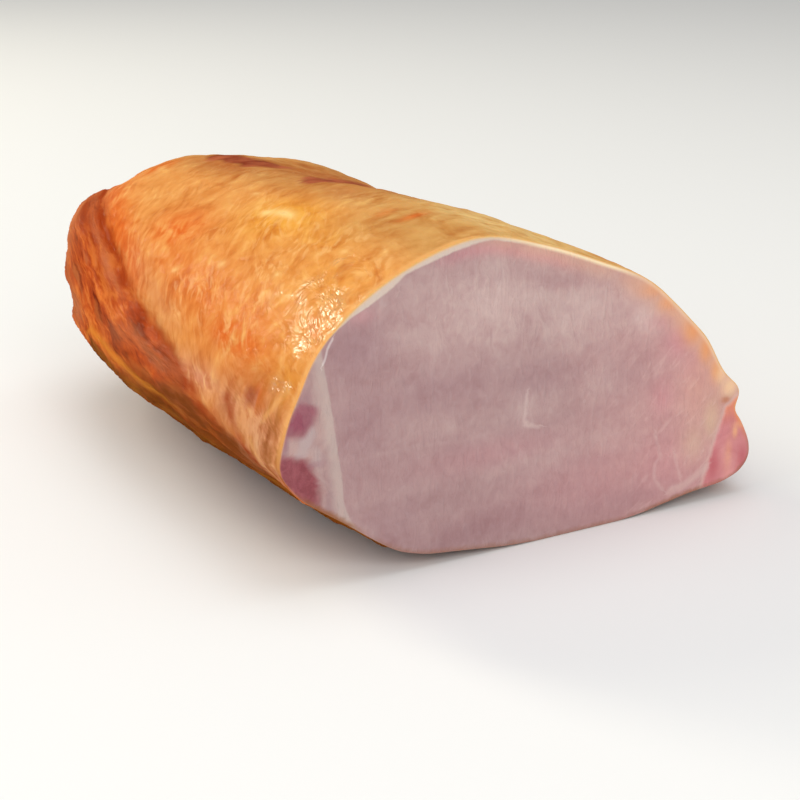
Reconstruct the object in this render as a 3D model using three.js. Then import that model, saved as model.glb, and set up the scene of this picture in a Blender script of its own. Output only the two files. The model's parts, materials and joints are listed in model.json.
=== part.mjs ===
// A chunk of smoked pork loin, lying on its belly side with the fat cap up.
// One end is freshly cut and flat. The other was trimmed before smoking and has dried into a rounded end.
// It is one solid: the cut's outline swept to the rounded end, with the swellings, valleys and furrows of
// the smoked outside as relief. Millimetres, +Z up, the cut towards -Y, and the origin on the table under
// the middle of the piece.
import * as THREE from "three";

// Driving sizes.
const LENGTH = 175; // from the cut to the tip of the end's dome, which is then dished
const CUT_WIDTH = 130; // across the cut, with the strips of side muscle
const CUT_HEIGHT = 74.8; // from the table to the crown of the cut

// Density of the mesh: points round a ring, rings along the body, rings across the cut.
const AROUND = 128;
const ALONG = 41;
const CUT_RINGS = 3;

// The cut's outline as shares of its width and height, clockwise from the crown as seen from the front.
const CUT_OUTLINE = [
  [-0.12, 1.0], // crown, over the thick of the eye muscle
  [0.01, 0.95],
  [0.14, 0.865],
  [0.25, 0.77], // right shoulder
  [0.34, 0.64],
  [0.425, 0.45],
  [0.468, 0.35],
  [0.464, 0.305], // notch above the rib strip
  [0.482, 0.25],
  [0.5, 0.15], // tip of the rib strip
  [0.475, 0.07],
  [0.36, 0.04],
  [0.2, 0.0], // underside, where the piece rests
  [0.0, 0.0],
  [-0.14, 0.025],
  [-0.265, 0.062], // belly corner
  [-0.37, 0.18],
  [-0.45, 0.29],
  [-0.496, 0.4], // edge of the chain muscle
  [-0.49, 0.53],
  [-0.45, 0.68],
  [-0.38, 0.82],
  [-0.26, 0.94],
];

const clamp01 = (v) => Math.min(1, Math.max(0, v));
const smooth = (from, to, v) => {
  const s = clamp01((v - from) / (to - from));
  return s * s * (3 - 2 * s);
};
// A soft bump of height 1 at centre, gone at about twice its reach.
const bump = (v, centre, reach) => Math.exp(-(((v - centre) / reach) ** 2));
// The same round a ring, where 0 and 1 are one place.
const ringBump = (u, centre, reach) => {
  const apart = Math.abs(u - centre) % 1;
  return bump(Math.min(apart, 1 - apart), 0, reach);
};

// The end draws in over this share of the length, as a rounded shoulder about its middle.
const END_SHARE = 0.2;
const END_POWER = 2.5;
const END_MIDDLE = [0.04 * CUT_WIDTH, 0.5 * CUT_HEIGHT];
const END_DISH = 4; // how far its middle has sunk in drying

function endScale(t) {
  const s = clamp01((t - 1 + END_SHARE) / END_SHARE);
  return (1 - s ** END_POWER) ** (1 / END_POWER);
}

// How far the end lies below its dome, more towards the belly than under the crown.
function endHollow(t, u) {
  const round = endScale(t);
  const lean = 1.5 * Math.cos(2 * Math.PI * (u + 0.1)) * round;
  return (END_DISH - lean) * (1 - round) ** 2;
}

// Places round the body, which shift from the cut to the end: the valley between the fat cap and the side
// muscle, the two furrows in that muscle, and the groove above the rib strip on the other side.
const VALLEY_AT_CUT = 0.79;
const valley = (t) => VALLEY_AT_CUT + 0.06 * t + 0.11 * t ** 3;
const upperFurrow = (t) => valley(t) - 0.04 - 0.02 * t;
const lowerFurrow = (t) => valley(t) - 0.075 - 0.035 * t;
const ribGroove = (t) => 0.285 - 0.03 * t + 0.008 * Math.sin(9 * t);

// Relief of the outside in millimetres, t along the body from the cut and u round it from the crown.
function relief(t, u) {
  const crownSwell = 1.4 * smooth(0.0, 0.12, t) * (1 - smooth(0.2, 0.5, t)) * ringBump(u, 0.08, 0.12);
  const farHump = 3.9 * bump(t, 0.74, 0.11) * ringBump(u, 0.1, 0.07);
  const belly = 0.8 * smooth(0.0, 0.3, t) * ringBump(u, 0.7, 0.06);
  const sideLobe = 5.2 * bump(t, 0.92, 0.12) * ringBump(u, 0.882, 0.035);
  const ribStrip = 0.8 * smooth(0.05, 0.3, t) * ringBump(u, ribGroove(t) + 0.05, 0.03);
  const drawnInFlank =
    10 * smooth(0.5, 1, t) * ringBump(u, 0.77, 0.1) +
    3 * smooth(0.75, 0.95, t) * ringBump(u, 0.775, 0.05);
  const valleyDepth = 2.2 * smooth(0.03, 0.5, t) * ringBump(u, valley(t), 0.018);
  const furrows =
    1.1 * smooth(0.25, 0.6, t) * ringBump(u, upperFurrow(t), 0.011) +
    0.9 * smooth(0.1, 0.4, t) * ringBump(u, lowerFurrow(t), 0.011);
  const grooveDepth =
    (1.2 - 0.6 * Math.cos(13 * t)) * smooth(0.0, 0.2, t) * ringBump(u, ribGroove(t), 0.016);
  const raised = crownSwell + farHump + belly + sideLobe + ribStrip;
  const sunk = drawnInFlank + valleyDepth + furrows + grooveDepth;
  return raised - sunk + unevenness(t, u);
}

// Slow waves of the dried surface, none at the cut.
function unevenness(t, u) {
  const round = 2 * Math.PI * u;
  const long = 2 * Math.PI * t;
  const slow = Math.sin(2 * round + 1.3 * long + 0.6) * Math.cos(1.7 * long - round);
  const quick = Math.sin(7 * round - 2.3 * long) * Math.sin(3.1 * long + 2 * round + 1.1);
  return smooth(0, 0.15, t) * (0.35 * slow + 0.3 * quick);
}

// How much lower the piece gets from the cut to the end.
function fall(t) {
  return 1 - 0.07 * smooth(0.2, 1, t);
}

// Behind the cut the underside has settled flat under its own weight: the lowest SAG is pressed to the table.
const SAG = 2.2;
function settled(t, z) {
  return Math.max(z - SAG * smooth(0, 0.08, t) * (1 - smooth(0, 14, z)), 0);
}

function cutSection() {
  const corners = CUT_OUTLINE.map(([x, z]) => new THREE.Vector3(x * CUT_WIDTH, 0, z * CUT_HEIGHT));
  const curve = new THREE.CatmullRomCurve3(corners, true, "centripetal");
  curve.arcLengthDivisions = 1200;
  const points = curve.getSpacedPoints(AROUND).slice(0, AROUND);
  return points.map((p, i) => {
    const before = points[(i + AROUND - 1) % AROUND];
    const after = points[(i + 1) % AROUND];
    const along = after.clone().sub(before).normalize();
    return { x: p.x, z: p.z, outX: -along.z, outZ: along.x, u: i / AROUND };
  });
}

function bodyRing(t, section) {
  const round = endScale(t);
  return section.map(({ x, z, outX, outZ, u }) => {
    const raised = relief(t, u) * round;
    const px = END_MIDDLE[0] + (x - END_MIDDLE[0]) * round + outX * raised;
    const pz = END_MIDDLE[1] + (z - END_MIDDLE[1]) * round + outZ * raised;
    const py = t * LENGTH - endHollow(t, u);
    return new THREE.Vector3(px, py, settled(t, pz * fall(t)));
  });
}

function loinGeometry() {
  const section = cutSection();
  const rings = [];
  for (let i = 1; i < CUT_RINGS; i++) {
    const share = i / CUT_RINGS;
    rings.push(
      section.map(({ x, z }) => {
        const px = END_MIDDLE[0] + (x - END_MIDDLE[0]) * share;
        const pz = END_MIDDLE[1] + (z - END_MIDDLE[1]) * share;
        return new THREE.Vector3(px, 0, pz);
      }),
    );
  }
  for (let i = 0; i < ALONG; i++) {
    const t = 1 - (1 - i / (ALONG - 0.5)) ** 1.5;
    rings.push(bodyRing(t, section));
  }
  const first = new THREE.Vector3(END_MIDDLE[0], 0, END_MIDDLE[1]);
  const last = new THREE.Vector3(END_MIDDLE[0], LENGTH - END_DISH, END_MIDDLE[1]);
  const points = [first, ...rings.flat(), last];
  const index = [];
  const at = (r, i) => 1 + r * AROUND + (i % AROUND);
  for (let i = 0; i < AROUND; i++) {
    index.push(0, at(0, i + 1), at(0, i));
    index.push(points.length - 1, at(rings.length - 1, i), at(rings.length - 1, i + 1));
    for (let r = 0; r + 1 < rings.length; r++) {
      index.push(at(r, i), at(r + 1, i + 1), at(r + 1, i));
      index.push(at(r, i), at(r, i + 1), at(r + 1, i + 1));
    }
  }
  const geometry = new THREE.BufferGeometry().setFromPoints(points);
  geometry.setIndex(index);
  geometry.computeBoundingBox();
  const middle = geometry.boundingBox.getCenter(new THREE.Vector3());
  geometry.translate(-middle.x, -middle.y, 0);
  geometry.computeVertexNormals();
  return geometry;
}

const smokedFat = new THREE.MeshStandardMaterial({ color: 0xe69a50, roughness: 0.45, metalness: 0 });

const loin = new THREE.Mesh(loinGeometry(), smokedFat);
loin.name = "loin";

const part = new THREE.Group();
part.add(loin);
export default part;
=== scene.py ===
import json
import math

import bmesh
import bpy
import numpy as np
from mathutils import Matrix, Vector, noise

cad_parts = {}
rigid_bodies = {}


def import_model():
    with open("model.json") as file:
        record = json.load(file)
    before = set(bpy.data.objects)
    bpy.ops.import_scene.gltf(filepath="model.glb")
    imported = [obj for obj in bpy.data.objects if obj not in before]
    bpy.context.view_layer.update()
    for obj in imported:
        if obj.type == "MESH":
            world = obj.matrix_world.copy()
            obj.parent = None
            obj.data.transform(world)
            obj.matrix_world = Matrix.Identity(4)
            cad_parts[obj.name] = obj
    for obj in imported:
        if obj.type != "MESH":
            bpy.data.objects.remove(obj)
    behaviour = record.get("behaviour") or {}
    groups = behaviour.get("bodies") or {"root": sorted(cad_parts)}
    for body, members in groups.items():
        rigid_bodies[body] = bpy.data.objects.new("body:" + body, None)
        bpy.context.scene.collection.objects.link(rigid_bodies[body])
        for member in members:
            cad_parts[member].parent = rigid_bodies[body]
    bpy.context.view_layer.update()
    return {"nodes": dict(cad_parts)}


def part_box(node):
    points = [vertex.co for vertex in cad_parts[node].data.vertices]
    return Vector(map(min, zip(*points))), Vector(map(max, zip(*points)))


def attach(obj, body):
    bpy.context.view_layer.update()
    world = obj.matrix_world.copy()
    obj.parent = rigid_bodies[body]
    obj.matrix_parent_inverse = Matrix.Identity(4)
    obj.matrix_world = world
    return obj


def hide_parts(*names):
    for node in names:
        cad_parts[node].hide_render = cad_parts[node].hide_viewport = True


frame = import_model()

# ---- The studio ----
# A pale seamless floor, and a soft window in two panes behind and to the left, which the greasy rind mirrors.
# Softer lights fill in from above, from the left and from the front. The camera stands off the cut's left
# corner and looks down a little.
MM = 0.001
loin_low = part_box("loin")[0]
CUT_Y = loin_low[1]

CAMERA_LENS_MM = 81
CAMERA_PITCH = 18
CAMERA_HEADING = 31
CAMERA_BACK_FROM_CUT = 317.77 * MM
CAMERA_ACROSS = -227.47 * MM
CAMERA_HEIGHT = 161.33 * MM

LAMP_AIM = Vector((0, 0, 0.04))
WINDOW_TINT = (1.0, 0.93, 0.74)
SKY_TINT = (0.96, 0.98, 1.0)
ROOM_BRIGHTNESS = 0.4
FLOOR_WIDTH = 8

bpy.ops.object.camera_add(
    location=(CAMERA_ACROSS, CUT_Y - CAMERA_BACK_FROM_CUT, CAMERA_HEIGHT),
    rotation=(math.radians(90 - CAMERA_PITCH), 0, math.radians(-CAMERA_HEADING)),
)
camera = bpy.context.object
camera.name = "camera"
camera.data.lens = CAMERA_LENS_MM
camera.data.clip_start = 0.01
bpy.context.scene.camera = camera
bpy.context.scene.view_settings.view_transform = "Standard"


def soft_light(name, power, size, place, tint=(1.0, 1.0, 1.0)):
    """A square softbox of this size at place, turned to the piece."""
    bpy.ops.object.light_add(type="AREA", location=place)
    lamp = bpy.context.object
    lamp.name = name
    lamp.data.energy = power
    lamp.data.size = size
    lamp.data.color = tint
    lamp.rotation_euler = (LAMP_AIM - Vector(place)).to_track_quat("-Z", "Y").to_euler()


soft_light("window_light", 5.25, 0.3, (-0.5, 1.11, 0.63), WINDOW_TINT)
soft_light("high_window_light", 2.1, 0.3, (-0.42, 0.95, 0.94), WINDOW_TINT)
soft_light("top_light", 4.6, 1.0, (0.1, -0.1, 1.3), SKY_TINT)
soft_light("side_light", 2.7, 0.8, (-1.2, 0.1, 0.7))
soft_light("front_light", 10.0, 1.0, (-0.5, -1.2, 0.75))

world = bpy.data.worlds.new("studio_air")
world.use_nodes = True
air = world.node_tree.nodes["Background"]
air.inputs["Color"].default_value = (1, 1, 1, 1)
air.inputs["Strength"].default_value = ROOM_BRIGHTNESS
bpy.context.scene.world = world


def add_node(material, kind, inputs=(), **settings):
    """A shader node with its settings and its inputs, each a value or another node's output."""
    made = material.node_tree.nodes.new(kind)
    for key, value in settings.items():
        setattr(made, key, value)
    for key, value in dict(inputs).items():
        if isinstance(value, bpy.types.NodeSocket):
            material.node_tree.links.new(value, made.inputs[key])
        else:
            made.inputs[key].default_value = value
    return made


def tone(red, green, blue):
    """A colour as the eye reads it, 0 to 255, as the shader's linear values."""
    shares = [c / 255 for c in (red, green, blue)]
    return [c / 12.92 if c <= 0.04045 else ((c + 0.055) / 1.055) ** 2.4 for c in shares] + [1.0]


floor_finish = bpy.data.materials.new("matt_floor")
floor_finish.use_nodes = True
floor_shader = floor_finish.node_tree.nodes["Principled BSDF"]
floor_shader.inputs["Base Color"].default_value = tone(244, 244, 243)
floor_shader.inputs["Roughness"].default_value = 0.8

bpy.ops.object.select_all(action="DESELECT")
bpy.ops.mesh.primitive_plane_add(size=FLOOR_WIDTH, location=(0, 0, loin_low[2]))
floor = bpy.context.object
floor.name = "studio_floor"
floor.data.materials.append(floor_finish)

# ---- The piece of meat: its shape ----
# One muscle with its fat cap, the side muscle along its left flank and the rib strip along its right. The
# cut's own outline is drawn back ring by ring, drawn in at the rounded end and pressed onto the solid.
LENGTH = 175 * MM
END_SHARE = 0.2
END_POWER = 2.5
END_FALL = 0.07
MIDDLE = Vector((4.7 * MM, 0, 37.4 * MM))
BODY_RINGS = 33
END_RINGS = 10
END_TURN = math.radians(62)
END_FACE_FROM = 0.97
OUTLINE_POINTS = 96
RIM_ROUNDING = 0.35 * MM
RIM_BANDS = (0.9 * MM, 1.6 * MM)
GRID_SPAN = 30
SAME_PLACE = 0.02 * MM

loin = bpy.data.objects.new("smoked_loin", frame["nodes"]["loin"].data.copy())
bpy.context.scene.collection.objects.link(loin)
bpy.ops.object.select_all(action="DESELECT")
loin.select_set(True)
bpy.context.view_layer.objects.active = loin
loin.data.materials.clear()


def pick(kind, test):
    """Selects, in edit mode, the faces, edges or verts that pass the test, and nothing else."""
    bpy.ops.mesh.select_mode(type={"faces": "FACE", "edges": "EDGE", "verts": "VERT"}[kind])
    bpy.ops.mesh.select_all(action="DESELECT")
    shape = bmesh.from_edit_mesh(loin.data)
    for element in getattr(shape, kind):
        if test(element):
            element.select_set(True)
    shape.select_flush_mode()
    bmesh.update_edit_mesh(loin.data)


def on_cut(point):
    return abs(point.y - CUT_Y) < SAME_PLACE


def at_end(point):
    return point.y > CUT_Y + END_FACE_FROM * LENGTH


def rise(start, stop, value):
    """0 up to start, 1 past stop, and a smooth rise between them."""
    share = np.clip((value - start) / (stop - start), 0, 1)
    return share * share * (3 - 2 * share)


def lowered(along):
    """How much of its height the piece keeps, from the cut to the lower end."""
    return 1 - END_FALL * rise(0.2, 1.0, along)


bpy.ops.object.mode_set(mode="EDIT")
bpy.ops.mesh.select_all(action="SELECT")
bpy.ops.mesh.remove_doubles(threshold=0.001 * MM)
pick("faces", lambda face: not all(on_cut(vert.co) for vert in face.verts))
bpy.ops.mesh.delete(type="FACE")
bpy.ops.mesh.select_all(action="SELECT")
bpy.ops.mesh.dissolve_faces()

# The outline, clockwise from the crown as seen from the front, with its points' shares of the way round.
outline = sorted(
    bmesh.from_edit_mesh(loin.data).verts,
    key=lambda vert: -math.atan2(vert.co.z - MIDDLE.z, vert.co.x - MIDDLE.x),
)
rim = np.array([(vert.co.x, vert.co.z) for vert in outline])
rim = np.roll(rim, -rim[:, 1].argmax(), axis=0)
rim_steps = np.linalg.norm(np.roll(rim, -1, axis=0) - rim, axis=1)
rim_share = np.concatenate([[0], np.cumsum(rim_steps)]) / rim_steps.sum()
rim_arm = rim - (MIDDLE.x, MIDDLE.z)
rim_turn = (np.arctan2(rim_arm[0, 1], rim_arm[0, 0]) - np.arctan2(rim_arm[:, 1], rim_arm[:, 0])) % math.tau
rim_turn = np.append(rim_turn, math.tau)
rim_reach = np.append(np.linalg.norm(rim_arm, axis=1), np.linalg.norm(rim_arm[0]))

# Every fourth point of the outline goes, to leave the rings evenly open.
spare = {vert.index for vert in outline[:: len(outline) // (len(outline) - OUTLINE_POINTS)]}
pick("verts", lambda vert: vert.index in spare)
bpy.ops.mesh.dissolve_verts()

bpy.ops.mesh.select_mode(type="FACE")
bpy.ops.mesh.select_all(action="SELECT")
shoulder = (1 - END_SHARE) * LENGTH
rings = [(shoulder * ring / BODY_RINGS, 1.0) for ring in range(1, BODY_RINGS + 1)]
for ring in range(1, END_RINGS + 1):
    turned = END_TURN * ring / END_RINGS
    reached = shoulder + END_SHARE * LENGTH * math.sin(turned) ** (2 / END_POWER)
    rings.append((reached, math.cos(turned) ** (2 / END_POWER)))
was_back, was_open, was_high = 0.0, 1.0, 1.0
for back, open_share in rings:
    high = float(lowered(back / LENGTH))
    shrink = open_share / was_open
    middle = (MIDDLE.x, 0, MIDDLE.z * was_high)
    bpy.ops.mesh.extrude_region_move(TRANSFORM_OT_translate={"value": (0, back - was_back, 0)})
    bpy.ops.transform.resize(value=(shrink, 1, shrink), center_override=middle)
    bpy.ops.transform.resize(value=(1, 1, high / was_high), center_override=(0, 0, 0))
    was_back, was_open, was_high = back, open_share, high

# The rim of the cut is rounded a little, then the cut and the end are filled with even quads.
pick("edges", lambda edge: all(on_cut(vert.co) for vert in edge.verts) and len(edge.link_faces) == 2)
bpy.ops.mesh.bevel(offset=RIM_ROUNDING, offset_type="OFFSET", segments=2, affect="EDGES")
for width in RIM_BANDS:
    pick("faces", lambda face: len(face.verts) > 4 and all(on_cut(vert.co) for vert in face.verts))
    bpy.ops.mesh.inset(thickness=width, depth=0)
for place in (on_cut, at_end):
    pick("faces", lambda face: len(face.verts) > 4 and all(place(vert.co) for vert in face.verts))
    bpy.ops.mesh.delete(type="ONLY_FACE")
    pick("edges", lambda edge: edge.is_boundary)
    bpy.ops.mesh.fill_grid(span=GRID_SPAN)
    bpy.ops.mesh.select_less()
    bpy.ops.mesh.vertices_smooth(factor=0.5, repeat=40)
bpy.ops.mesh.select_all(action="SELECT")
bpy.ops.mesh.normals_make_consistent(inside=False)
bpy.ops.object.mode_set(mode="OBJECT")


def points_of(mesh):
    """The mesh's points as rows of x, y and z."""
    flat = np.empty(3 * len(mesh.vertices))
    mesh.vertices.foreach_get("co", flat)
    return flat.reshape(-1, 3)


def note(mesh, name, values):
    """Writes one number, or three, for each point of the mesh under this name."""
    kind = "FLOAT" if values.ndim == 1 else "FLOAT_VECTOR"
    channel = mesh.attributes.new(name, kind, "POINT")
    channel.data.foreach_set("value" if values.ndim == 1 else "vector", values.astype(np.float32).ravel())


def noted(mesh, name):
    """Reads back what note wrote."""
    channel = mesh.attributes[name]
    wide = channel.data_type == "FLOAT_VECTOR"
    flat = np.empty(len(mesh.vertices) * (3 if wide else 1), dtype=np.float32)
    channel.data.foreach_get("vector" if wide else "value", flat)
    return flat.reshape(-1, 3).astype(float) if wide else flat.astype(float)


# Each point is told how far along and round the piece it lies, and how far out from the end's middle.
cage = points_of(loin.data)
along = (cage[:, 1] - CUT_Y) / LENGTH
arm_x = cage[:, 0] - MIDDLE.x
arm_z = cage[:, 2] / lowered(along) - MIDDLE.z
turned = (math.atan2(rim_arm[0, 1], rim_arm[0, 0]) - np.arctan2(arm_z, arm_x)) % math.tau
around = np.interp(turned, rim_turn, rim_share)
outward = np.clip(np.hypot(arm_x, arm_z) / np.interp(turned, rim_turn, rim_reach), 0, 1)
far = along > END_FACE_FROM
along[far] = 1 - END_SHARE + END_SHARE * (1 - outward[far] ** END_POWER) ** (1 / END_POWER)
note(loin.data, "place", np.stack([np.cos(math.tau * around), np.sin(math.tau * around), along], axis=1))
note(loin.data, "outward", outward)


def finish_with(kind, **settings):
    """Adds a modifier to the piece in hand and applies it."""
    modifier = bpy.context.object.modifiers.new(kind.lower(), kind)
    for key, value in settings.items():
        setattr(modifier, key, value)
    bpy.ops.object.modifier_apply(modifier=modifier.name)


finish_with("SHRINKWRAP", target=frame["nodes"]["loin"], wrap_method="NEAREST_SURFACEPOINT")
finish_with("SUBSURF", levels=2, render_levels=2)
bpy.ops.object.shade_smooth()

# ---- The smoked outside: its furrows and crinkles ----
# Skin-like fat over the eye muscle, drawn tight in the smoke, and the grainy side muscle below its edge.
# Both shrank unevenly in drying: small dents and streaks on the fat, long furrows on the lean.
place = noted(loin.data, "place")
outward = noted(loin.data, "outward")
for spent in ("place", "outward"):
    loin.data.attributes.remove(loin.data.attributes[spent])
around = (np.arctan2(place[:, 1], place[:, 0]) / math.tau) % 1
along = place[:, 2]
girth_mm = rim_steps.sum() / MM
back_mm = along * LENGTH / MM + 50 * (1 - outward) * (along > 0.5)

VALLEY_AT_CUT = 0.79
valley = VALLEY_AT_CUT + 0.06 * along + 0.11 * along**3
golden_edge = 0.744 + 0.074 * along - 0.06 * rise(0.64, 0.8, along)
rib_groove = 0.285 - 0.03 * along + 0.008 * np.sin(9 * along)
left_side = around > 0.47
below_valley_mm = np.where(left_side, valley - around, valley - 1 - around) * girth_mm
below_golden_mm = np.where(left_side, golden_edge - around, -1) * girth_mm
below_groove_mm = np.where(left_side, -0.2, around - rib_groove) * girth_mm


def flow(turn, stretch_round, stretch_along):
    """Places on the outside in millimetres, drawn shorter the way in which a pattern is to run long."""
    arm = girth_mm / math.tau / stretch_round * outward
    return np.stack([arm * np.cos(turn), arm * np.sin(turn), back_mm / stretch_along], axis=1)


fat_flow = flow(math.tau * around, 2.4, 1)
round_mm = (around - 0.6) % 1 * girth_mm * outward
slant = 0.25 * back_mm + 0.35 * (np.hypot(back_mm - 40, 18) + back_mm - 40)
slant_flow = np.stack([round_mm - slant, back_mm / 2.2, 0 * back_mm], axis=1)
lean_flow = flow(math.tau * (around - valley + VALLEY_AT_CUT), 1, 4.5)
skin_flow = flow(math.tau * around, 1, 1)


def ripple(where, size_mm, seed, octaves=3):
    """Smooth noise of about -1 to 1 at each point, with lumps of this size."""
    shift = Vector((seed, 2.3 * seed, 5.1 * seed))
    return np.array([noise.fractal(Vector(point) / size_mm + shift, 0.8, 2.1, octaves) for point in where])


def near(distance, reach):
    """1 where the distance is nothing, and gone at about twice the reach."""
    return np.exp(-((distance / reach) ** 2))


def patch(at_along, at_around, long_mm, round_mm):
    """A soft-edged patch on the outside, 1 in its middle."""
    off = (around - at_around + 0.5) % 1 - 0.5
    return near((along - at_along) * LENGTH / MM, long_mm) * near(off * girth_mm, round_mm)


below_edge_mm = below_valley_mm - 5.5 * rise(0.42, 0.18, along)
far_soft = rise(0.5, 0.75, along)
edge_gap_mm = below_edge_mm + 1.2 * ripple(skin_flow, 9, 1)
lean_share = rise(-1.5 - 5 * far_soft, 2.5 + 1.5 * far_soft, edge_gap_mm) * left_side
fat_share = 1 - lean_share
dents = 0.26 * ripple(skin_flow, 4.5, 2, 2) + 0.35 * ripple(skin_flow, 17, 4, 2)
dents += 0.08 * ripple(fat_flow, 3.2, 3, 2)
strands = 0.7 * ripple(lean_flow, 3.6, 5) + 0.6 * ripple(lean_flow, 8.0, 6, 2)
crease = 0.8 * rise(0.2, 0.5, along) * near(below_valley_mm - 1, 1.7) * rise(0.95, 0.7, along)
rib_crease = 0.5 * rise(0.04, 0.3, along) * near(below_groove_mm, 1.4)
lobe = 1.6 * patch(0.9, 0.914, 14, 4) + 0.4 * patch(0.87, 0.86, 10, 5) - 2.3 * patch(0.79, 0.786, 20, 7)
height_mm = points_of(loin.data)[:, 2] / MM
loose = rise(0.2, 3.0, back_mm) * rise(0.3, 7, height_mm)
lift_mm = (fat_share * dents + lean_share * strands + lobe - crease - rib_crease) * loose

normals = np.empty(3 * len(loin.data.vertices), dtype=np.float32)
loin.data.vertices.foreach_get("normal", normals)
shaped = points_of(loin.data) + normals.reshape(-1, 3) * lift_mm[:, None] * MM

# Where the muscles end at the cut, its edge bulges or dips: a place, a push, how far round the place that
# reaches and how far back from the cut.
BULGES_MM = (
    ((-62.5, 46), (0.6, -0.2), 5.5, 26),
    ((-65.5, 29.5), (-1.2, -0.6), 4.5, 26),
    ((-62, 21), (-1.4, -0.3), 6, 9),
    ((30, 61), (0.3, 0.6), 11, 26),
    ((50, 42), (0.8, 0.4), 7, 26),
    ((59, 28), (1.0, 0.2), 3.5, 26),
    ((60.3, 22), (-0.7, 0), 2.2, 26),
    ((65, 11), (1.2, -0.6), 4.5, 26),
)


def bulged(x, z, back):
    """How far places on the outside are pushed by the bulges at the cut, in millimetres."""
    push_x, push_z = 0 * x, 0 * z
    for (at_x, at_z), (by_x, by_z), reach, fade in BULGES_MM:
        share = near(np.hypot(x - at_x, z - at_z), reach) * rise(fade, 0.12 * fade, back)
        push_x += by_x * share
        push_z += by_z * share
    return push_x, push_z


push_x, push_z = bulged(shaped[:, 0] / MM, shaped[:, 2] / MM, back_mm)
shaped[:, 0] += push_x * MM
shaped[:, 2] = np.maximum(shaped[:, 2] + push_z * MM, 0)
loin.data.vertices.foreach_set("co", shaped.ravel())
loin.data.update()

# ---- The smoked outside: its colours and gloss ----
# Golden rendered fat with darker streaks where it shrank, mahogany patches where the lean lay bare, red-brown
# lean on the flank and on the rib strip, and a greasy film that shines on the crinkles near the cut.


def together(*patches):
    """The patches as one, where the strongest counts."""
    return np.maximum.reduce(patches)


def stripe(start, stop, half_mm):
    """A soft-edged stripe between two places on the outside, each its share along and around."""
    run_long = (stop[0] - start[0]) * LENGTH / MM
    run_round = (stop[1] - start[1]) * girth_mm
    off_long = (along - start[0]) * LENGTH / MM
    off_round = ((around - start[1] + 0.5) % 1 - 0.5) * girth_mm
    share = np.clip((off_long * run_long + off_round * run_round) / (run_long**2 + run_round**2), 0, 1)
    return near(np.hypot(off_long - share * run_long, off_round - share * run_round), half_mm)


past_crown = (around + 0.5) % 1 + 0.5
far_side = rise(1.09, 1.18, past_crown)
above_valley_mm = np.maximum(-below_valley_mm, 0)
amber = together(
    patch(0.53, 0.9, 14, 8),
    0.5 * patch(0.44, 0.865, 13, 5),
    0.9 * patch(0.2, 0.842, 18, 5),
    0.7 * patch(0.09, 0.812, 4, 4),
    0.8 * patch(0.13, 0.99, 1.6, 3.5),
    0.4 * patch(0.18, 0.982, 2, 3),
    0.8 * patch(0.83, 0.96, 5, 7),
    0.9 * patch(0.78, 0.892, 10, 4),
    0.9 * near(above_valley_mm - 3, 8) * rise(0.44, 0.6, along),
    0.5 * near(above_valley_mm - 15, 11) * rise(0.05, 0.15, along) * rise(0.6, 0.5, along),
    0.6 * patch(0.03, 0.876, 5, 4),
    0.5 * far_side,
    0.9 * patch(0.35, 0.17, 22, 8),
    0.8 * patch(0.72, 0.2, 14, 10),
)
straw = together(
    patch(0.33, 0.945, 17, 9),
    0.5 * patch(0.22, 0.94, 16, 6),
    0.3 * patch(0.1, 0.91, 16, 8),
    0.8 * patch(0.045, 0.828, 8, 5),
)
tan = (1 - 0.8 * far_side) * together(
    0.85 * rise(0.955, 0.995, past_crown),
    rise(0.32, 0.14, along) * rise(0.925, 0.975, past_crown),
)
pale = rise(0.3, 0.1, along) * rise(0.99, 1.04, past_crown) * (1 - far_side)
mahogany = (1 - 0.6 * rise(1.09, 1.14, past_crown)) * together(
    stripe((0.67, 1.01), (0.765, 1.006), 5.5),
    patch(0.675, 1.02, 9, 8),
    0.75 * patch(0.103, 0.813, 4, 4),
    stripe((0.445, 1.01), (0.54, 1.055), 6.5),
    stripe((0.51, 1.045), (0.61, 1.12), 9),
)
russet = together(
    patch(0.42, 1.035, 18, 12),
    patch(0.56, 1.06, 26, 22),
    0.9 * patch(0.69, 0.99, 22, 6),
    0.6 * patch(0.33, 0.995, 12, 5),
    0.4 * patch(0.8, 1.03, 18, 14),
    0.7 * near(below_groove_mm - 8, 9) * (1 - left_side) * rise(0.06, 0.25, along),
    0.5 * patch(0.55, 0.2, 30, 12),
    0.7 * patch(0.09, 0.822, 11, 5),
    0.5 * patch(0.21, 0.84, 14, 4),
)
# Dark red-brown along the furrow, the rib groove and a fold by the cut: partly the lean's colour, partly
# painted shade in the creases.
furrow = together(
    0.9 * stripe((0.16, 0.802), (0.08, 0.766), 1.8),
    near(below_edge_mm - 1.2, 1.8) * rise(0.15, 0.25, along) * (1 - 0.3 * patch(0.4, 0.82, 16, 20)),
    0.8 * near(below_valley_mm - 6.5, 2.0) * rise(0.5, 0.62, along),
    0.6 * near(below_groove_mm - 1, 2) * rise(0.05, 0.2, along),
)
# Painted shade: the lower flank near the cut, below the fat's edge, darkened to a deep brown.
painted_belly_shade = rise(4, 9, below_valley_mm - 6 * rise(0.3, 0.4, along))
painted_belly_shade *= rise(0.55, 0.4, along) * rise(0.02, 0.1, along)
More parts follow.
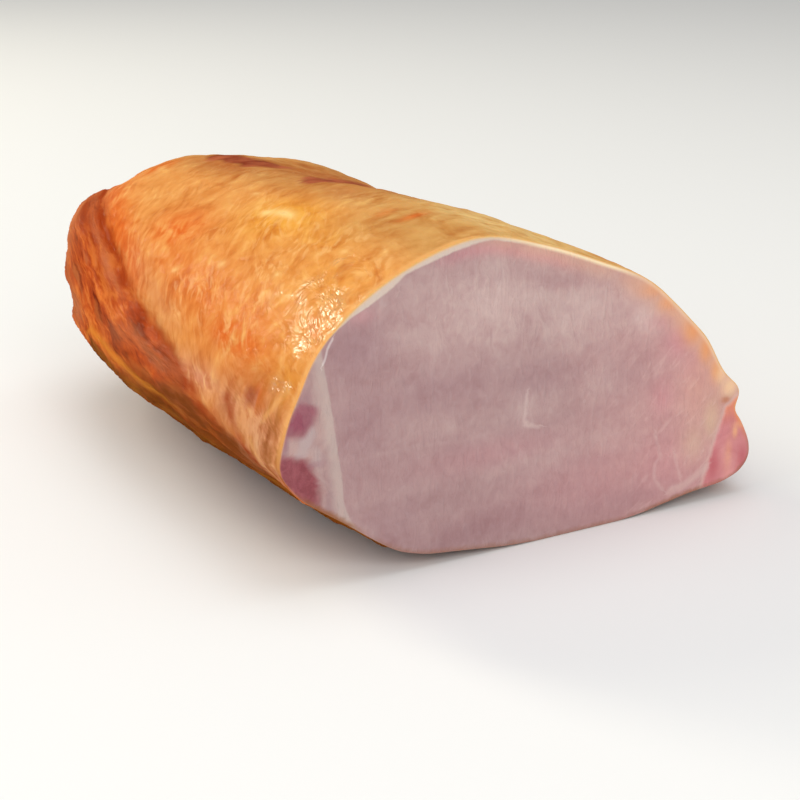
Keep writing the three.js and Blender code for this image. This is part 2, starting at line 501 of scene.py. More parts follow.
# Rose: a pink veil on the lean near the cut, and along the ridge above the furrow a painted soft sheen.
rose = together(
    patch(0.26, 0.804, 18, 4),
    0.7 * patch(0.16, 0.798, 10, 6),
    0.2 * patch(0.03, 0.8, 6, 8),
    0.7 * patch(0.02, 0.76, 10, 6),
    0.3 * near(above_valley_mm - 5, 5) * rise(0.3, 0.42, along) * rise(0.72, 0.55, along),
    0.6 * near(below_valley_mm - 6.5, 2.2) * rise(0.3, 0.38, along) * rise(0.56, 0.46, along),
    0.5 * near(below_valley_mm - 4, 1.7) * rise(0.5, 0.6, along),
    patch(0.885, 0.865, 12, 16),
    0.8 * patch(0.83, 0.79, 14, 12),
    0.8 * patch(0.3, 0.78, 12, 4),
    0.5 * patch(0.52, 0.805, 12, 4),
    0.7 * patch(0.1, 0.765, 12, 5),
)
# Painted highlights: pale spots on the crown and the upper flank, laid into the colour and made glossy as
# well.
painted_highlight = together(
    patch(0.342, 0.947, 5.5, 1.5),
    0.9 * patch(0.378, 0.943, 2.8, 1.3),
    0.6 * patch(0.475, 0.96, 1.6, 0.9),
    0.6 * patch(0.335, 0.885, 1.4, 1.1),
    0.6 * patch(0.435, 0.868, 1.6, 1.1),
    0.5 * patch(0.2, 0.893, 1.4, 1.1),
    0.5 * patch(0.13, 0.933, 1.4, 1.1),
)
sparkle = together(
    0.9 * patch(0.04, 0.828, 7, 5),
    patch(0.045, 0.892, 24, 16),
    0.6 * patch(0.17, 0.89, 12, 9),
    0.2 * patch(0.38, 0.872, 16, 8),
    0.35 * patch(0.42, 0.95, 20, 8),
    0.5 * patch(0.28, 0.12, 26, 12),
    0.4 * patch(0.62, 0.17, 20, 12),
    painted_highlight,
)
crown = rise(0.93, 0.98, past_crown)
end = rise(0.85, 0.45, outward)
# The underside below the golden edge: its dark olive brown is partly its own colour and partly painted shade.
under_gap_mm = below_golden_mm + 1.5 * ripple(skin_flow, 11, 8, 2) * rise(0.7, 0.85, along)
under_left = rise(1.0, 5.0 + 5 * rise(0.7, 0.85, along), under_gap_mm)
under_right = rise(18, 30, below_groove_mm) * (1 - left_side)
underside = np.clip(under_left + under_right, 0, 1)
golden_line = near(below_golden_mm, 1.3) * rise(0.28, 0.42, along) * rise(0.78, 0.66, along)
folds = together(patch(0.05, 0.79, 13, 9), 0.6 * patch(0.14, 0.8, 8, 6))
rim_glow = together(
    rise(2.2, 0.4, back_mm) * rise(0.77, 0.8, around),
    0.8 * stripe((0.035, 0.82), (0.06, 0.803), 0.9),
    0.7 * stripe((0.085, 0.785), (0.04, 0.76), 0.9),
)
note(loin.data, "tints", np.stack([amber, straw, tan], axis=1))
note(loin.data, "darks", np.stack([mahogany, furrow, painted_belly_shade], axis=1))
note(loin.data, "glows", np.stack([rose, sparkle, golden_line], axis=1))
rib_gap_mm = below_groove_mm - 1.5 + 1.5 * ripple(skin_flow, 8, 9, 2)
rib_lean = rise(-1.2, 1.8, rib_gap_mm) * (1 - left_side) * rise(-0.02, 0.04, along)
note(loin.data, "parts", np.stack([together(lean_share, rib_lean), underside, end], axis=1))
note(loin.data, "ridge", np.stack([crown, pale, russet], axis=1))
note(loin.data, "edge", np.stack([painted_highlight, folds, rim_glow], axis=1))
note(loin.data, "calm", together(crown, 0.85 * rise(0.25, 0.6, along)))
note(loin.data, "fat_flow", fat_flow)
note(loin.data, "slant_flow", slant_flow)
note(loin.data, "lean_flow", lean_flow)
note(loin.data, "skin_flow", skin_flow)


def attribute(material, name):
    """The three numbers noted under this name."""
    return add_node(material, "ShaderNodeAttribute", attribute_name=name).outputs["Vector"]


def share_of(material, name):
    """The one number noted under this name."""
    return add_node(material, "ShaderNodeAttribute", attribute_name=name).outputs["Fac"]


def stretched(material, where, *scale):
    """The places multiplied by a scale for each direction, which makes a pattern drawn there finer."""
    return add_node(material, "ShaderNodeMapping", {"Vector": where, "Scale": scale}).outputs["Vector"]


def apart(material, vector):
    """The three numbers that a vector holds."""
    return add_node(material, "ShaderNodeSeparateXYZ", {"Vector": vector}).outputs


def cloud(material, where, scale, detail=3.0, roughness=0.55, distortion=0.0):
    """Noise from 0 to 1, with about scale lumps a millimetre."""
    inputs = {"Vector": where, "Scale": scale, "Detail": detail, "Roughness": roughness}
    made = add_node(material, "ShaderNodeTexNoise", {**inputs, "Distortion": distortion})
    return made.outputs["Fac"]


def ladder(material, value, *steps):
    """The colour for each value, from (position, colour) steps."""
    made = add_node(material, "ShaderNodeValToRGB", {"Fac": value})
    stops = made.color_ramp.elements
    while len(stops) < len(steps):
        stops.new(0.5)
    for stop, (position, colour) in zip(stops, steps):
        stop.position = position
        stop.color = colour
    return made.outputs["Color"]


def eased(material, value, start, stop, low=0.0, high=1.0):
    """The value run smoothly from low at start to high at stop."""
    inputs = {"Value": value, "From Min": start, "From Max": stop, "To Min": low, "To Max": high}
    made = add_node(material, "ShaderNodeMapRange", inputs, interpolation_type="SMOOTHSTEP")
    return made.outputs["Result"]


def sum_of(material, *terms):
    """The sum of (weight, value) terms."""
    total = 0.0
    for weight, value in terms:
        inputs = {0: value, 1: weight, 2: total}
        total = add_node(material, "ShaderNodeMath", inputs, operation="MULTIPLY_ADD").outputs[0]
    return total


def mixed(material, share, low, high):
    """The number that lies this share of the way from low to high."""
    return add_node(material, "ShaderNodeMix", {0: share, 2: low, 3: high}).outputs[0]


def times(material, first, second):
    """The product of two values."""
    return add_node(material, "ShaderNodeMath", {0: first, 1: second}, operation="MULTIPLY").outputs[0]


def covered(material, under, over, share, way="MIX"):
    """The colour under with the colour over laid on it by share."""
    inputs = {0: share, 6: under, 7: over}
    return add_node(material, "ShaderNodeMix", inputs, data_type="RGBA", blend_type=way).outputs[2]


def relief(material, height, depth):
    """Fine relief of this depth in metres."""
    inputs = {"Height": height, "Distance": depth, "Strength": 1.0}
    return add_node(material, "ShaderNodeBump", inputs).outputs["Normal"]


def stirred(material, where, scale, reach):
    """The places moved aside by soft noise, by half the reach at most, so that what is drawn there swirls."""
    made = add_node(material, "ShaderNodeTexNoise", {"Vector": where, "Scale": scale, "Detail": 0.0})
    inputs = {0: made.outputs["Color"], 1: (-0.5, -0.5, -0.5)}
    aside = add_node(material, "ShaderNodeVectorMath", inputs, operation="ADD").outputs[0]
    inputs = {0: aside, 1: (reach, reach, reach), 2: where}
    return add_node(material, "ShaderNodeVectorMath", inputs, operation="MULTIPLY_ADD").outputs[0]


SKIN_DEPTH = 1.3 * MM

smoked = bpy.data.materials.new("smoked_outside")
smoked.use_nodes = True
fat_where = attribute(smoked, "fat_flow")
slant_where = attribute(smoked, "slant_flow")
lean_where = attribute(smoked, "lean_flow")
skin_where = attribute(smoked, "skin_flow")
amber_share, straw_share, tan_share = apart(smoked, attribute(smoked, "tints"))
mahogany_share, furrow_share, painted_belly_shade_share = apart(smoked, attribute(smoked, "darks"))
rose_share, sparkle_share, golden_share = apart(smoked, attribute(smoked, "glows"))
lean_part, under_part, end_part = apart(smoked, attribute(smoked, "parts"))
crown_share, pale_share, russet_share = apart(smoked, attribute(smoked, "ridge"))
painted_highlight_share, fold_share, glow_share = apart(smoked, attribute(smoked, "edge"))
calm_share = share_of(smoked, "calm")

# The streaks slant and swirl on the cap's near side, run level on the crown and thin out in calm patches.
swirl_where = stretched(smoked, stirred(smoked, slant_where, 0.13, 6.5), 1.0, 1.3, 1.0)
slanted = cloud(smoked, swirl_where, 0.3, 1.5, 0.45, 0.3)
level = cloud(smoked, fat_where, 0.3, 1.5, 0.4, 0.3)
streaks = mixed(smoked, crown_share, slanted, level)
wrinkled = eased(smoked, cloud(smoked, skin_where, 0.07, 1.0), 0.4, 0.6, 0.35, 1.15)
inputs = {0: wrinkled, 2: 0.5, 3: streaks}
streaks = add_node(smoked, "ShaderNodeMix", inputs, clamp_factor=False).outputs[0]
mottle = cloud(smoked, skin_where, 0.1, 2.5, 0.55, 0.8)
crumple = cloud(smoked, skin_where, 0.3, 2.0, 0.45, 0.2)
fine = cloud(smoked, swirl_where, 0.75, 2.0, 0.5, 0.3)
fine = mixed(smoked, calm_share, fine, 0.5)
dabs = eased(smoked, cloud(smoked, swirl_where, 0.5, 2.0, 0.5, 0.3), 0.46, 0.7)
golden = sum_of(smoked, (0.3, streaks), (0.35, mottle), (0.2, crumple), (0.15, fine))

# The fat's colour: its broad patches, then the light and dark of the streaks, then the gloss with its painted
# highlights, then bare lean.
fat_colour = covered(smoked, tone(226, 156, 85), tone(234, 164, 54), times(smoked, straw_share, 0.8))
fat_colour = covered(smoked, fat_colour, tone(207, 156, 91), tan_share)
fat_colour = covered(smoked, fat_colour, tone(184, 108, 56), russet_share)
fat_colour = covered(smoked, fat_colour, tone(236, 198, 130), times(smoked, pale_share, 0.9))
amber_spread = times(smoked, amber_share, eased(smoked, golden, 0.6, 0.46, 0.4, 1.0))
fat_colour = covered(smoked, fat_colour, tone(226, 112, 44), amber_spread)
# The rose veil, with a painted sheen along the ridge above the furrow.
fat_colour = covered(smoked, fat_colour, tone(208, 140, 106), rose_share)
fat_shade = ladder(
    smoked,
    golden,
    (0.36, tone(220, 184, 160)),
    (0.45, tone(239, 221, 204)),
    (0.53, tone(251, 245, 240)),
    (0.62, tone(255, 255, 255)),
)
fat_colour = covered(smoked, fat_colour, fat_shade, 1.0, "MULTIPLY")
fat_colour = covered(smoked, fat_colour, tone(248, 198, 116), eased(smoked, golden, 0.54, 0.68, 0, 0.4))
dab_share = times(smoked, times(smoked, eased(smoked, calm_share, 0, 1, 0.26, 0.08), wrinkled), dabs)
fat_colour = covered(smoked, fat_colour, tone(252, 206, 140), dab_share)
cells = cloud(smoked, swirl_where, 0.6, 1.0, 0.5, 0.3)
islands = cloud(smoked, skin_where, 0.16, 1.0)
gloss = eased(smoked, sum_of(smoked, (1.0, sparkle_share), (1.5, islands)), 1.15, 1.9)
crinkles = sum_of(smoked, (1.0, cells), (-0.5, 1.0))
crinkles = times(smoked, crinkles, eased(smoked, gloss, 0, 1, 0.08, 0.8))
fat_colour = covered(smoked, fat_colour, tone(236, 172, 88), times(smoked, gloss, 0.35))
# Painted highlights: pale yellow spots laid into the fat's colour.
fat_colour = covered(smoked, fat_colour, tone(252, 216, 142), times(smoked, painted_highlight_share, 0.8))
mahogany_spread = eased(smoked, sum_of(smoked, (1.0, mahogany_share), (1.1, level)), 0.85, 1.35)
mahogany_tone = ladder(smoked, level, (0.35, tone(128, 52, 30)), (0.65, tone(176, 92, 58)))
fat_colour = covered(smoked, fat_colour, mahogany_tone, mahogany_spread)

# The lean's colour, in bands and threads that run along the flank.
grain = cloud(smoked, lean_where, 0.36, 3, 0.5, 0.3)
bands = cloud(smoked, lean_where, 0.13, 3, 0.5, 0.4)
threads = cloud(smoked, lean_where, 1.0, 2, 0.5, 0.2)
lean = sum_of(smoked, (0.4, grain), (0.38, bands), (0.22, threads))
lean_colour = ladder(
    smoked,
    lean,
    (0.4, tone(112, 32, 8)),
    (0.47, tone(160, 60, 20)),
    (0.53, tone(186, 79, 28)),
    (0.6, tone(214, 115, 48)),
)
ashy = cloud(smoked, lean_where, 0.2, 2, 0.5, 0.3)
lean_colour = covered(smoked, lean_colour, tone(190, 104, 52), eased(smoked, ashy, 0.5, 0.66, 0, 0.6))
lean_colour = covered(smoked, lean_colour, tone(196, 122, 80), times(smoked, rose_share, 0.8))
# Painted shade: the lower flank near the cut turned deep brown.
painted_belly_shade_spread = times(smoked, painted_belly_shade_share, eased(smoked, grain, 0.65, 0.4, 0.7, 1.0))
lean_colour = covered(smoked, lean_colour, tone(122, 60, 18), painted_belly_shade_spread)
lean_colour = covered(smoked, lean_colour, tone(214, 132, 44), times(smoked, golden_share, 0.7))

# The underside, its dark brown partly its own colour and partly painted shade, the dried end and the folds
# behind the chain muscle.
under_shade = cloud(smoked, stretched(smoked, skin_where, 1.0, 1.0, 0.5), 0.16, 4, 0.6, 0.3)
under_colour_and_shade = ladder(
    smoked,
    under_shade,
    (0.36, tone(104, 50, 10)),
    (0.5, tone(126, 68, 16)),
    (0.64, tone(148, 86, 26)),
)
under_colour_and_shade = covered(smoked, under_colour_and_shade, tone(150, 74, 28), eased(smoked, crumple, 0.5, 0.7, 0, 0.6))
end_spread = eased(smoked, sum_of(smoked, (1.0, end_part), (0.6, mottle)), 0.35, 0.95)
end_where = add_node(smoked, "ShaderNodeTexCoord").outputs["Object"]
end_grain = cloud(smoked, stretched(smoked, end_where, 1 / MM, 1 / MM, 0.5 / MM), 0.22, 4, 0.6, 0.5)
end_colour = ladder(
    smoked,
    end_grain,
    (0.36, tone(118, 48, 20)),
    (0.46, tone(146, 68, 32)),
    (0.54, tone(168, 88, 48)),
    (0.64, tone(192, 116, 72)),
)
fold_colour = ladder(
    smoked,
    sum_of(smoked, (0.7, level), (0.3, fine)),
    (0.4, tone(140, 78, 44)),
    (0.5, tone(180, 114, 80)),
    (0.6, tone(206, 150, 112)),
)

# All the parts together, and their relief.
colour = covered(smoked, fat_colour, lean_colour, lean_part)
colour = covered(smoked, colour, fold_colour, times(smoked, fold_share, 0.85))
# The furrows: partly the lean's own red-brown, partly painted crease shade.
furrow_spread = times(smoked, furrow_share, eased(smoked, grain, 0.65, 0.4, 0.45, 0.85))
colour = covered(smoked, colour, tone(150, 50, 10), furrow_spread)
colour = covered(smoked, colour, under_colour_and_shade, under_part)
colour = covered(smoked, colour, end_colour, end_spread)
colour = covered(smoked, colour, tone(232, 172, 104), times(smoked, glow_share, 0.6))

fat_height = sum_of(smoked, (0.35, crumple), (0.1, streaks), (0.12, dab_share), (1.0, crinkles))
lean_height = sum_of(smoked, (0.7, grain), (0.3, bands), (0.25, threads))
height = mixed(smoked, lean_part, fat_height, lean_height)
height = mixed(smoked, end_spread, height, times(smoked, end_grain, 0.6))
surface = relief(smoked, height, SKIN_DEPTH)

shader = smoked.node_tree.nodes["Principled BSDF"]
smoked.node_tree.links.new(colour, shader.inputs["Base Color"])
smoked.node_tree.links.new(surface, shader.inputs["Normal"])
smoked.node_tree.links.new(surface, shader.inputs["Coat Normal"])
dry = add_node(smoked, "ShaderNodeMath", {0: lean_part, 1: under_part}, operation="MAXIMUM")
film = mixed(smoked, dry.outputs[0], eased(smoked, gloss, 0.1, 1.0, 0.04, 0.9), 0.03)
smoked.node_tree.links.new(film, shader.inputs["Coat Weight"])
shader.inputs["Roughness"].default_value = 0.5
shader.inputs["Subsurface Weight"].default_value = 0.15
shader.inputs["Subsurface Radius"].default_value = (1.0, 0.45, 0.2)
shader.inputs["Subsurface Scale"].default_value = 2.5 * MM
shader.inputs["Specular IOR Level"].default_value = 0.0
shader.inputs["Coat Roughness"].default_value = 0.12

# ---- The fresh cut: its muscles, fat and sinews ----
# The eye muscle fills the cut, with its grain end on and a few sinews. Fat lies round its top and down its
# left side, where two slips of the chain muscle show dark red. The rib strip is the darker pink on the right.
CUT_DEPTH = 0.5 * MM
CUT_SKIN_MM = 0.5
cut_x, cut_y, cut_z = (points_of(loin.data) / MM).T
fresh = cut_y < CUT_Y / MM + CUT_SKIN_MM


def along_line(line):
    """How far each point of the cut is from a line, in millimetres, positive on the line's right."""
    best = np.full(len(cut_x), 999.0)
    signed = best.copy()
    for (x0, z0), (x1, z1) in zip(line, line[1:]):
        run_x, run_z = x1 - x0, z1 - z0
        off_x, off_z = cut_x - x0, cut_z - z0
        share = np.clip((off_x * run_x + off_z * run_z) / (run_x**2 + run_z**2), 0, 1)
        gap = np.hypot(off_x - share * run_x, off_z - share * run_z)
        side = np.sign(run_z * off_x - run_x * off_z)
        signed = np.where(gap < best, side * gap, signed)
        best = np.minimum(gap, best)
    return signed


def spot(x, z, wide, high):
    """A soft spot on the cut, 1 in its middle."""
    return near(cut_x - x, wide) * near(cut_z - z, high)


def stretch_round(start, stop, soft=0.02):
    """1 between two places round the outline, as shares of the way from the crown."""
    middle, half = (start + stop) / 2, (stop - start) / 2
    off = np.abs((around - middle + 0.5) % 1 - 0.5)
    return rise(half + soft, half - soft, off)


def within(soft, *corners):
    """1 inside a clockwise patch of the cut with these corners, fading out over soft millimetres."""
    depth = np.full(len(cut_x), 99.0)
    for (x0, z0), (x1, z1) in zip(corners, corners[1:] + corners[:1]):
        run = math.hypot(x1 - x0, z1 - z0)
        depth = np.minimum(depth, ((z1 - z0) * (ragged_x - x0) - (x1 - x0) * (ragged_z - z0)) / run)
    return rise(-soft, soft, depth)


cut_flow = np.stack([cut_x, 0 * cut_x, cut_z], axis=1)
ragged_x = cut_x + 0.9 * ripple(cut_flow, 4, 11, 2)
ragged_z = cut_z + 0.9 * ripple(cut_flow, 4, 12, 2)
bulged_rim = rim / MM + np.stack(bulged(*(rim / MM).T, 0.0), axis=1)
rim_line = [tuple(point) for point in np.vstack([bulged_rim, bulged_rim[:1]])]
rim_gap_mm = np.abs(along_line(rim_line))
seam_upper = [(-57, 60), (-55.6, 54), (-54.6, 48), (-53.4, 41), (-51.8, 30)]
seam_lower = [(-51, 25), (-50.8, 20), (-49.2, 15.5), (-42, 5)]
seam_mm = -along_line(seam_upper + seam_lower)
rib_seam_mm = -along_line([(62, 27), (56.5, 23.5), (53.9, 16.8), (52.2, 11.5), (50.9, 7.4), (49.5, 2)])
# A painted highlight: a thin line along the upper left rim of the cut.
painted_highlight_mm = along_line([(-52.9, 57.2), (-54.2, 55.2), (-54.7, 53.4), (-55.4, 51.8)])
long_vein_mm = along_line(
    [(34.6, 20.4), (35.9, 17.2), (36.6, 14), (35.1, 12.6), (34.9, 9.6), (36.2, 7.2), (38, 5.4)]
)
short_vein_mm = along_line([(41.2, 13.8), (42, 11), (43.1, 8)])
veins_mm = np.where(np.abs(long_vein_mm) < np.abs(short_vein_mm), long_vein_mm, short_vein_mm)
fork_mm = along_line([(-3.0, 36.5), (-3.4, 33), (-3.7, 29.4), (0.8, 28.3)])
toe_mm = along_line([(40, 4.6), (44.4, 5.4), (48, 7.2), (51.4, 8.8)])
level_mm = along_line([(-46, 29), (-34, 29.6), (-20, 28.6), (-12, 29.2)])

band_mm = together(
    2.2 * stretch_round(0.885, 0.94, 0.025),
    1.8 * stretch_round(0.93, 1.01, 0.03),
    1.2 * stretch_round(1.0, 1.04, 0.02),
)
cream = together(stretch_round(1.03, 1.14, 0.03), 0.4 * stretch_round(1.13, 1.26, 0.02))
peach = together(
    0.5 * stretch_round(1.0, 1.13, 0.03) * near(rim_gap_mm - 1.2, 2.6),
    0.95 * stretch_round(1.13, 1.27, 0.02) * near(rim_gap_mm - 0.8, 3.6),
    0.3 * spot(52.5, 26, 4, 6),
    0.35 * spot(48, 30, 6, 9),
)
orange = together(
    0.7 * spot(34, 56.4, 5, 1.8),
    0.8 * spot(37.5, 52.6, 3.5, 2),
    spot(45, 44.8, 3, 3.2),
    spot(49.3, 39.5, 2, 3.4),
    spot(53, 33.4, 1.8, 2.8),
)
left_of_seam = rise(1.5, -1.5, seam_mm)
chain_red = left_of_seam * together(
    0.85 * within(1.1, (-69, 38), (-65, 41), (-61.5, 44.4), (-57, 42.8), (-57.2, 39.4), (-61, 36.8)),
    within(1.1, (-65, 39.6), (-61.8, 42.4), (-58.8, 41), (-59.8, 38.2), (-62.4, 37.8)),
    within(0.8, (-72, 34), (-64.4, 33), (-59.4, 31), (-56.8, 26.6), (-57.4, 16), (-72, 16)),
    0.7 * within(0.9, (-58.8, 28), (-56.2, 25), (-55.6, 18), (-60, 18)),
)
chain_mauve = left_of_seam * together(
    spot(-64.8, 36, 0.9, 2.5),
    0.8 * spot(-59.6, 29.9, 4.5, 0.7),
    0.5 * spot(-60, 45, 3, 2),
)
wedge = together(
    within(0.8, (-62.8, 32.2), (-61.4, 36.4), (-58.2, 38.8), (-56.8, 37.2), (-59, 33.4), (-60.6, 31.2)),
    0.6 * within(0.8, (-58.2, 35), (-55.4, 33), (-56, 29), (-58.2, 31)),
)
pale_streak = together(
    0.8 * within(0.6, (-58.6, 47), (-56, 50), (-54.6, 43), (-56.6, 40)),
    0.6 * within(0.6, (-57.8, 31), (-56.4, 31), (-54.6, 20), (-56.2, 20)),
)
light = together(
    0.75 * spot(-13, 58, 25, 13),
    0.65 * spot(12, 54, 20, 11),
    0.25 * spot(-26, 33, 14, 3),
    0.35 * spot(6, 22, 20, 5),
    0.4 * spot(18, 36, 8, 5),
    0.8 * spot(30, 50, 8, 5),
    0.4 * spot(-2, 34, 10, 5),
)
mauve = together(
    spot(-47, 54, 8, 7),
    0.55 * spot(-27, 42, 18, 5),
    0.5 * spot(0, 39.5, 10, 5),
    0.45 * spot(26, 37, 9, 6),
    0.5 * spot(-46, 38, 6, 10),
    0.5 * spot(-38, 12, 9, 6),
    0.45 * spot(-16, 6, 22, 4),
    0.7 * spot(27, 5, 20, 5),
)
blush = together(
    spot(41, 43, 4.5, 5),
    0.6 * spot(36, 48.5, 5, 2.5),
    0.7 * spot(36.5, 29, 3.5, 5),
    0.5 * spot(46, 36, 5, 8),
    0.5 * spot(38, 12, 12, 8),
    0.35 * spot(14, 12, 22, 9),
    0.8 * near(rim_gap_mm - 3, 1.5) * stretch_round(0.965, 1.08, 0.02),
    0.5 * spot(-46, 61, 3.5, 2),
    0.35 * spot(-10, 24, 20, 4),
)
# The cut is made lighter towards its right, partly its own tone and partly painted light.
lit_right = rise(-5, 55, cut_x)
rib_red = together(spot(53.5, 9, 2.2, 4), spot(63, 8.5, 2, 5), 0.5 * spot(57.5, 20, 3, 2))
rib_orange = together(
    rise(18, 25, cut_z) * rise(53, 56, cut_x),
    0.9 * near(rim_gap_mm, 1.2) * rise(12, 18, cut_z),
)
rib_gold = together(
    spot(60.0, 16.6, 0.8, 1.6),
    0.7 * spot(60.8, 18.2, 1.8, 0.8),
    0.5 * spot(58.2, 11, 1, 4),
)
crust = together(
    0.9 * stretch_round(0.7, 0.75, 0.012),
    0.6 * stretch_round(0.325, 0.39, 0.015),
    0.7 * stretch_round(0.385, 0.45, 0.02),
    0.45 * stretch_round(0.45, 0.68, 0.02),
)
golden_rim = together(stretch_round(0.86, 1.3, 0.03), 0.5 * stretch_round(0.76, 0.87, 0.02))
brown = spot(56.3, 25.4, 1.4, 0.8)
honey = together(spot(57.5, 28.6, 2.8, 2.8), 0.7 * spot(54.6, 32, 2, 3))
buttery = together(spot(52, 21, 2.6, 5), 0.6 * spot(47, 16, 4, 5))
note(loin.data, "edges", np.stack([rim_gap_mm, seam_mm, rib_seam_mm], axis=1) * fresh[:, None])
note(loin.data, "sinews", np.stack([veins_mm, fork_mm, toe_mm], axis=1))
note(loin.data, "seams", np.stack([level_mm, painted_highlight_mm, band_mm], axis=1))
note(loin.data, "rims", np.stack([cream, peach, crust], axis=1))
note(loin.data, "chain", np.stack([chain_red, wedge, orange], axis=1))
note(loin.data, "slips", np.stack([chain_mauve, pale_streak, golden_rim], axis=1))
note(loin.data, "tones", np.stack([light, mauve, blush], axis=1))
note(loin.data, "rib", np.stack([rib_red, rib_orange, rib_gold], axis=1))
note(loin.data, "marks", np.stack([brown, buttery, lit_right], axis=1))
note(loin.data, "honey", honey)
drawn = [rise(2.4, 1.2, np.abs(line)) for line in (veins_mm, fork_mm, toe_mm)]
note(loin.data, "drawn", np.stack(drawn, axis=1))
note(loin.data, "level_drawn", rise(2.4, 1.2, np.abs(level_mm)))
note(loin.data, "painted_highlight_drawn", rise(2, 1, np.abs(painted_highlight_mm)))

cut = bpy.data.materials.new("cut_meat")
cut.use_nodes = True
rim_gap, seam, rib_seam = apart(cut, attribute(cut, "edges"))
veins, fork, toe = apart(cut, attribute(cut, "sinews"))
level_line, painted_highlight, band = apart(cut, attribute(cut, "seams"))
cream_share, peach_share, crust_share = apart(cut, attribute(cut, "rims"))
red_share, wedge_share, orange_share = apart(cut, attribute(cut, "chain"))
chain_mauve_share, pale_streak_share, golden_rim_share = apart(cut, attribute(cut, "slips"))
light_share, mauve_share, blush_share = apart(cut, attribute(cut, "tones"))
rib_red_share, rib_orange_share, rib_gold_share = apart(cut, attribute(cut, "rib"))
veins_drawn, fork_drawn, toe_drawn = apart(cut, attribute(cut, "drawn"))
brown_share, buttery_share, lit_right_share = apart(cut, attribute(cut, "marks"))
honey_share = share_of(cut, "honey")
level_drawn = share_of(cut, "level_drawn")
painted_highlight_drawn = share_of(cut, "painted_highlight_drawn")


def on_line(line, drawn, wobble, inner, outer, strength=1.0):
    """As much as strength on a line of the cut where it is drawn, gone at outer millimetres from it."""
    wavy = sum_of(cut, (1.0, line), (wobble, ragged))
    gap = add_node(cut, "ShaderNodeMath", {0: wavy}, operation="ABSOLUTE").outputs[0]
    return times(cut, eased(cut, gap, outer, inner, 0, strength), drawn)


here = add_node(cut, "ShaderNodeTexCoord").outputs["Object"]
upright = stretched(cut, here, 1 / MM, 1 / MM, 0.34 / MM)
lying = stretched(cut, here, 0.25 / MM, 1 / MM, 1 / MM)
even = stretched(cut, here, 1 / MM, 1 / MM, 1 / MM)
fibres = cloud(cut, upright, 0.42, 2.5, 0.5, 1.8)
layers = cloud(cut, lying, 0.13, 2, 0.5, 0.5)
blotches = cloud(cut, even, 0.13, 3, 0.55, 0.8)
grains = cloud(cut, even, 0.5, 3, 0.6, 0.5)
ragged = sum_of(cut, (2.0, grains), (-1.0, 1.0))

# The eye muscle, its grain and its sinews.
# The meat is lighter towards the right, partly its own tone and partly painted light.
meat = covered(cut, tone(180, 148, 146), tone(226, 171, 165), times(cut, lit_right_share, 0.65))
meat = covered(cut, meat, tone(218, 193, 185), times(cut, light_share, 0.85))
meat = covered(cut, meat, tone(163, 128, 133), times(cut, mauve_share, 0.6))
meat = covered(cut, meat, tone(214, 144, 151), times(cut, blush_share, 0.6))
meat_shade = ladder(
    cut,
    sum_of(cut, (0.35, blotches), (0.27, grains), (0.13, fibres), (0.25, layers)),
    (0.36, tone(230, 216, 220)),
    (0.5, tone(244, 238, 240)),
    (0.64, tone(255, 255, 255)),
)
meat = covered(cut, meat, meat_shade, 1.0, "MULTIPLY")
meat = covered(cut, meat, tone(216, 188, 154), times(cut, buttery_share, 0.6))
fibre_spread = times(cut, eased(cut, fibres, 0.52, 0.7), eased(cut, light_share, 0.1, 0.7, 0.04, 0.2))
meat = covered(cut, meat, tone(212, 188, 180), fibre_spread)
aslant = add_node(cut, "ShaderNodeMapping", {"Vector": here, "Rotation": (0, 0.75, 0)}).outputs["Vector"]
aslant = stretched(cut, aslant, 0.25 / MM, 1 / MM, 1 / MM)
wisps = eased(cut, cloud(cut, aslant, 0.55, 2, 0.5, 0.8), 0.55, 0.72, 0, 0.3)
meat = covered(cut, meat, tone(226, 190, 184), times(cut, wisps, lit_right_share))
fleck = eased(cut, cloud(cut, even, 0.42, 1, 0.4), 0.74, 0.84)
meat = covered(cut, meat, tone(208, 184, 178), times(cut, fleck, 0.2))
sinews = ((veins, veins_drawn, 0.2), (fork, fork_drawn, 0.34), (level_line, level_drawn, 0.06))
for line, drawn_there, strength in sinews:
    sinew = on_line(line, drawn_there, 0.6, 0.0, 0.9, strength)
    meat = covered(cut, meat, tone(222, 198, 191), sinew)

# The fat round the top, with the orange and honey of the right shoulder.
peach_spread = times(cut, peach_share, eased(cut, blotches, 0.3, 0.6, 0.7, 1.0))
meat = covered(cut, meat, tone(224, 170, 140), peach_spread)
meat = covered(cut, meat, tone(232, 156, 100), times(cut, orange_share, 0.85))
meat = covered(cut, meat, tone(248, 208, 162), times(cut, honey_share, 0.85))
fat_gap = sum_of(cut, (1.0, rim_gap), (0.3, ragged), (-1.0, band))
band_tone = covered(cut, tone(228, 186, 120), tone(212, 192, 178), eased(cut, rim_gap, 0.1, 1.1))
meat = covered(cut, meat, band_tone, eased(cut, fat_gap, 0.3, -0.3))
cream_line = times(cut, cream_share, eased(cut, rim_gap, 1.5, 0.5))
meat = covered(cut, meat, tone(252, 228, 188), cream_line)
meat = covered(cut, meat, tone(186, 116, 78), times(cut, brown_share, 0.9))

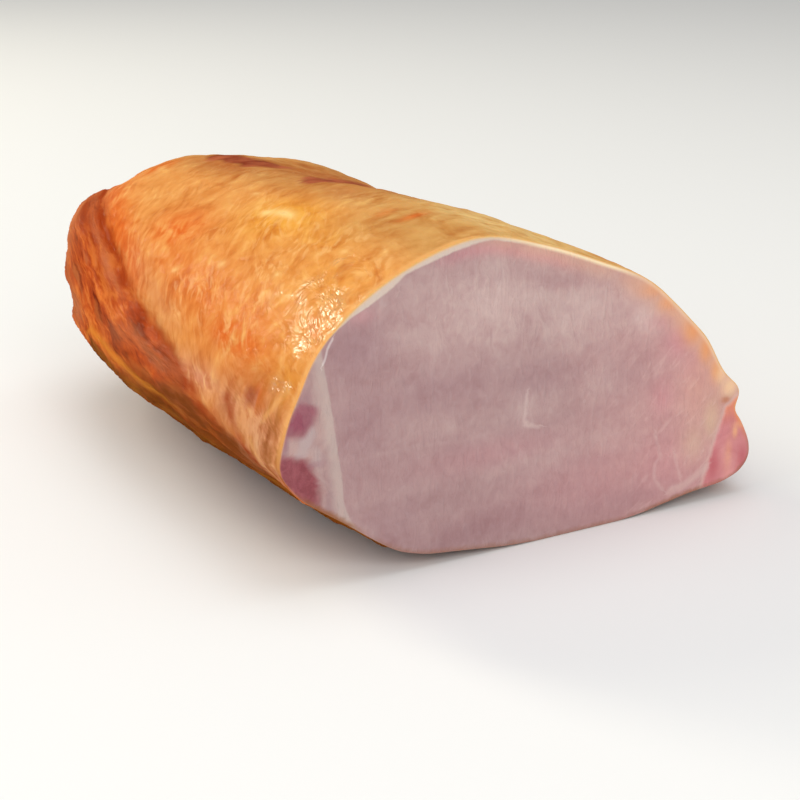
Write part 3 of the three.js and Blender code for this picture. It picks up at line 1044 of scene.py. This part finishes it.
# The side fat and the two slips of the chain muscle.
side_fat = ladder(cut, blotches, (0.35, tone(164, 130, 130)), (0.65, tone(186, 154, 148)))
pale_band = times(cut, eased(cut, sum_of(cut, (1.0, seam), (0.5, ragged)), -4.0, -1.0), 0.65)
side_fat = covered(cut, side_fat, tone(194, 174, 166), pale_band)
side_fat = covered(cut, side_fat, tone(190, 164, 157), times(cut, pale_streak_share, 0.7))
side_fat = covered(cut, side_fat, tone(184, 162, 160), times(cut, wedge_share, 0.85))
side_fat = covered(cut, side_fat, tone(148, 98, 112), times(cut, chain_mauve_share, 0.7))
chain_tone = ladder(cut, grains, (0.35, tone(130, 50, 60)), (0.65, tone(152, 73, 82)))
purple_share = eased(cut, apart(cut, even)[2], 29, 40, 0, 0.5)
chain_tone = covered(cut, chain_tone, tone(146, 68, 98), purple_share)
side_fat = covered(cut, side_fat, chain_tone, times(cut, red_share, 0.92))
meat = covered(cut, meat, side_fat, eased(cut, sum_of(cut, (1.0, seam), (0.3, ragged)), 0.35, -0.25))
# A painted highlight: a thin near-white line along the upper left rim.
meat = covered(cut, meat, tone(236, 226, 224), on_line(painted_highlight, painted_highlight_drawn, 0.2, 0.05, 0.45, 0.45))

# The rib strip and the sinew under it.
rib_tone = ladder(cut, blotches, (0.35, tone(204, 126, 130)), (0.65, tone(220, 150, 148)))
rib_tone = covered(cut, rib_tone, tone(190, 94, 102), times(cut, rib_red_share, 0.8))
rib_tone = covered(cut, rib_tone, tone(230, 138, 98), times(cut, rib_orange_share, 0.9))
rib_tone = covered(cut, rib_tone, tone(242, 180, 128), times(cut, rib_gold_share, 0.8))
meat = covered(cut, meat, rib_tone, eased(cut, sum_of(cut, (1.0, rib_seam), (0.4, ragged)), -0.3, 0.3))
meat = covered(cut, meat, tone(222, 188, 178), on_line(rib_seam, 1.0, 0.6, 0.1, 1.1, 0.4))
meat = covered(cut, meat, tone(218, 188, 182), on_line(toe, toe_drawn, 0.5, 0.2, 1.8, 0.4))

# The browned rim, and the relief of the cut.
rim_dusk = eased(cut, sum_of(cut, (1.0, rim_gap), (0.6, ragged)), 1.6, 0.2)
meat = covered(cut, meat, tone(146, 92, 52), times(cut, crust_share, rim_dusk))
golden_line = times(cut, golden_rim_share, eased(cut, rim_gap, 0.6, 0.05))
meat = covered(cut, meat, tone(226, 168, 92), golden_line)

cut_height = sum_of(cut, (0.5, fibres), (0.3, grains), (0.3, blotches))
cut_shader = cut.node_tree.nodes["Principled BSDF"]
cut.node_tree.links.new(meat, cut_shader.inputs["Base Color"])
cut.node_tree.links.new(relief(cut, cut_height, CUT_DEPTH), cut_shader.inputs["Normal"])
cut.node_tree.links.new(eased(cut, grains, 0.35, 0.65, 0.38, 0.5), cut_shader.inputs["Roughness"])
cut_shader.inputs["Specular IOR Level"].default_value = 0.3
cut_shader.inputs["Subsurface Weight"].default_value = 0.15
cut_shader.inputs["Subsurface Radius"].default_value = (1.0, 0.4, 0.3)
cut_shader.inputs["Subsurface Scale"].default_value = 2.0 * MM
loin.data.materials.append(smoked)
loin.data.materials.append(cut)
for face in loin.data.polygons:
    face.material_index = int(face.center.y < CUT_Y + 0.1 * MM)

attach(loin, "root")
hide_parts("loin")
